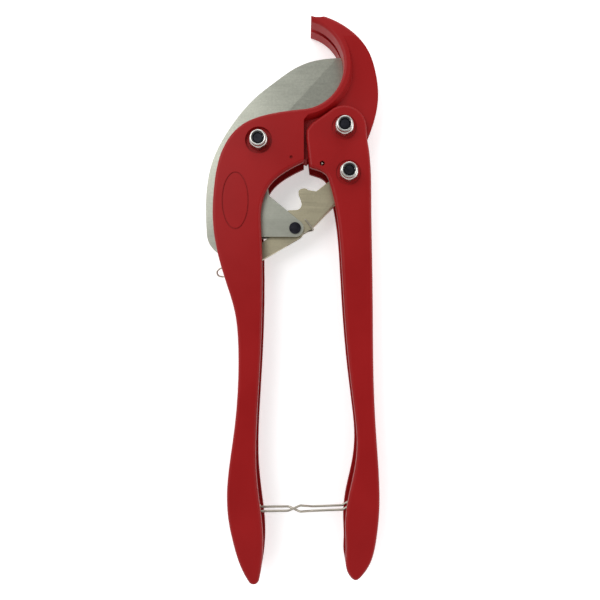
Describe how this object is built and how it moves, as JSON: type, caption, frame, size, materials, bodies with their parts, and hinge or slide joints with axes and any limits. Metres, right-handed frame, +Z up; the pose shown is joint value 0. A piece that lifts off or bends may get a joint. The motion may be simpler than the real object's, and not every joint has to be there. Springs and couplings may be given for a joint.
{
  "type": "ratchet pipe cutter",
  "caption": "Two-handed ratchet pipe cutter: cast hook jaw, sector blade on a pivot, notched link between blade and moving handle, and a twisted wire latch holding the grips closed",
  "frame": {"origin": "under the middle of the whole tool, on the surface that it lies on", "axes": "+Y from the grips to the jaw, +Z up out of the front side, along the pivots"},
  "size_m": [0.1314, 0.4223, 0.0338],
  "materials": {
    "red_powder_coat": "satin red powder coat on die-cast aluminium",
    "blade_steel": "ground stainless steel",
    "plated_steel": "pressed steel with a pale nickel plate",
    "bright_zinc": "bright zinc plate",
    "blackened_steel": "black oxide",
    "spring_wire": "drawn spring wire"
  },
  "bodies": {
    "frame": {"frame_casting": "red_powder_coat", "blade_pivot_bolt": "blackened_steel", "blade_pivot_nut": "bright_zinc", "handle_pivot_bush": "plated_steel", "closing_spring": "spring_wire", "latch_pin": "plated_steel"},
    "handle": {"moving_handle": "red_powder_coat", "handle_pivot_bolt": "blackened_steel", "handle_pivot_nut": "bright_zinc", "link_pin_bolt": "blackened_steel", "link_pin_nut": "bright_zinc", "link_pin_roller": "plated_steel", "latch_catch": "plated_steel", "handle_spring": "spring_wire"},
    "cutting_blade": {"blade": "blade_steel", "tang_plate_front": "blade_steel", "tang_plate_back": "blade_steel", "blade_hub": "plated_steel", "tang_spacers": "plated_steel", "link_rivet": "blackened_steel", "tang_rivets": "blackened_steel"},
    "link": {"ratchet_link": "plated_steel", "link_spring": "spring_wire"},
    "strut": {"spring_strut": "plated_steel"},
    "latch": {"latch_wire": "spring_wire"}
  },
  "joints": [
    {"name": "handle_swing", "type": "hinge", "parent": "frame", "child": "handle", "pos_m": [0.03912, 0.12845, 0.013], "axis": [0, 0, 1], "range_deg": [0, 55]},
    {"name": "blade_swing", "type": "hinge", "parent": "frame", "child": "cutting_blade", "pos_m": [-0.02428, 0.11895, 0.013], "axis": [0, 0, 1], "range_deg": [0, 56]},
    {"name": "link_swing", "type": "hinge", "parent": "cutting_blade", "child": "link", "pos_m": [0.00262, 0.05465, 0.013], "axis": [0, 0, 1], "range_deg": [-142, 0]},
    {"name": "strut_swing", "type": "hinge", "parent": "cutting_blade", "child": "strut", "pos_m": [0.00262, 0.05465, 0.013], "axis": [0, 0, 1], "range_deg": [-47, 0]},
    {"name": "latch_swing", "type": "hinge", "parent": "frame", "child": "latch", "pos_m": [-0.02708, -0.16005, 0.013], "axis": [0, 0, 1], "range_deg": [0, 80]}
  ],
  "couplings": [
    {"joint": "blade_swing", "follows": "handle_swing", "ratio": 1.0182},
    {"joint": "link_swing", "follows": "handle_swing", "ratio": -2.5818},
    {"joint": "strut_swing", "follows": "handle_swing", "ratio": -0.85455}
  ]
}
